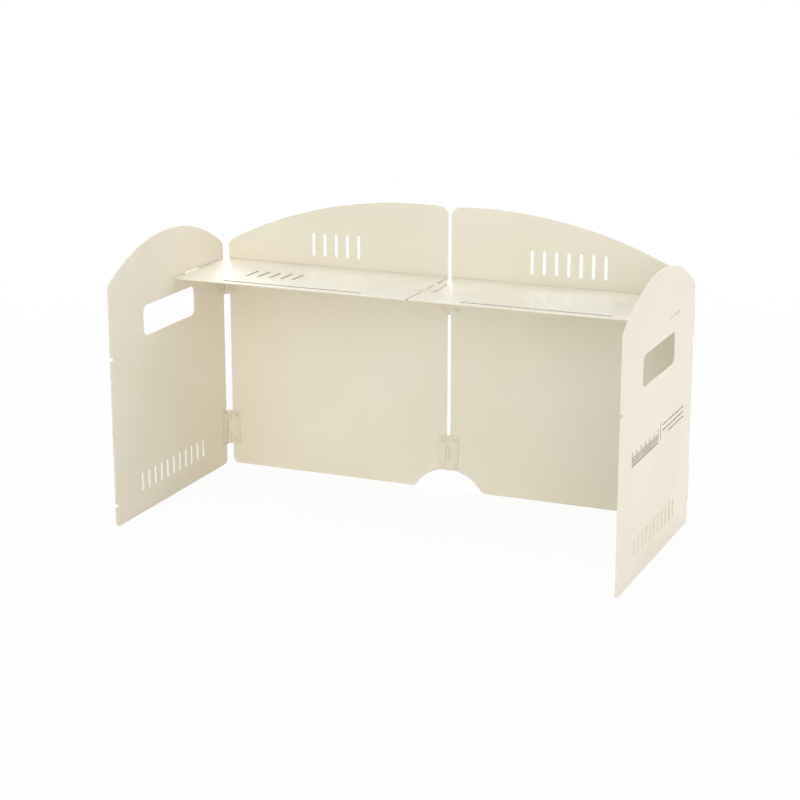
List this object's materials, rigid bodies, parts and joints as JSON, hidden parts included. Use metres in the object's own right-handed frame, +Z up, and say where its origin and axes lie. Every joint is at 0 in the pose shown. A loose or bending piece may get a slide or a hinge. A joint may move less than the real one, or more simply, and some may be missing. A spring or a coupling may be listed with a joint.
{
  "type": "folding windscreen",
  "caption": "Folding camping stove windscreen: hinged back panels and side wings in coated sheet steel, with a two-part shelf that hooks in.",
  "frame": {"origin": "on the ground, under the middle of the bounding box", "axes": "+X to the right seen from the open front, +Y to the back wall, +Z up"},
  "size_m": [0.524, 0.2474, 0.304],
  "materials": {
    "sheet_coat": "ivory powder coat, fine satin texture",
    "hinge_coat": "ivory powder coat over the hinge leaves",
    "rivet_coat": "ivory coat over steel rivets",
    "pin_steel": "plain drawn steel"
  },
  "bodies": {
    "left_back": {"left_back_panel": "sheet_coat", "left_lower_back_leaf": "hinge_coat", "left_lower_pin": "pin_steel", "middle_lower_left_leaf": "hinge_coat", "middle_lower_pin": "pin_steel", "left_lower_back_rivet_low": "rivet_coat", "left_lower_back_rivet_high": "rivet_coat", "middle_lower_left_rivet_low": "rivet_coat", "middle_lower_left_rivet_high": "rivet_coat", "left_upper_back_leaf": "hinge_coat", "left_upper_pin": "pin_steel", "middle_upper_left_leaf": "hinge_coat", "middle_upper_pin": "pin_steel", "left_upper_back_rivet_low": "rivet_coat", "left_upper_back_rivet_high": "rivet_coat", "middle_upper_left_rivet_low": "rivet_coat", "middle_upper_left_rivet_high": "rivet_coat"},
    "left_wing": {"left_wing_panel": "sheet_coat", "left_lower_wing_leaf": "hinge_coat", "left_lower_wing_rivet_low": "rivet_coat", "left_lower_wing_rivet_high": "rivet_coat", "left_upper_wing_leaf": "hinge_coat", "left_upper_wing_rivet_low": "rivet_coat", "left_upper_wing_rivet_high": "rivet_coat"},
    "right_back": {"right_back_panel": "sheet_coat", "middle_lower_right_leaf": "hinge_coat", "right_lower_back_leaf": "hinge_coat", "right_lower_pin": "pin_steel", "middle_lower_right_rivet_low": "rivet_coat", "middle_lower_right_rivet_high": "rivet_coat", "right_lower_back_rivet_low": "rivet_coat", "right_lower_back_rivet_high": "rivet_coat", "middle_upper_right_leaf": "hinge_coat", "right_upper_back_leaf": "hinge_coat", "right_upper_pin": "pin_steel", "middle_upper_right_rivet_low": "rivet_coat", "middle_upper_right_rivet_high": "rivet_coat", "right_upper_back_rivet_low": "rivet_coat", "right_upper_back_rivet_high": "rivet_coat"},
    "right_wing": {"right_wing_panel": "sheet_coat", "right_lower_wing_leaf": "hinge_coat", "right_lower_wing_rivet_low": "rivet_coat", "right_lower_wing_rivet_high": "rivet_coat", "right_upper_wing_leaf": "hinge_coat", "right_upper_wing_rivet_low": "rivet_coat", "right_upper_wing_rivet_high": "rivet_coat"},
    "left_shelf": {"left_shelf": "sheet_coat"},
    "right_shelf": {"right_shelf": "sheet_coat"}
  },
  "joints": [
    {"name": "left_wing_hinge", "type": "hinge", "parent": "left_back", "child": "left_wing", "pos_m": [-0.25855, 0.12025, 0.12], "axis": [0, 0, -1], "range_deg": [0, 90]},
    {"name": "back_hinge", "type": "hinge", "parent": "left_back", "child": "right_back", "pos_m": [0, 0.12025, 0.12], "axis": [0, 0, 1], "range_deg": [0, 65]},
    {"name": "right_wing_hinge", "type": "hinge", "parent": "right_back", "child": "right_wing", "pos_m": [0.25855, 0.12025, 0.12], "axis": [0, 0, 1], "range_deg": [0, 90]},
    {"name": "left_shelf_tilt", "type": "hinge", "parent": "left_back", "child": "left_shelf", "pos_m": [-0.2612, 0.0457, 0.2288], "axis": [0, -1, 0], "range_deg": [0, 25]},
    {"name": "right_shelf_tilt", "type": "hinge", "parent": "right_back", "child": "right_shelf", "pos_m": [0.2612, 0.0457, 0.2288], "axis": [0, 1, 0], "range_deg": [0, 25]}
  ]
}
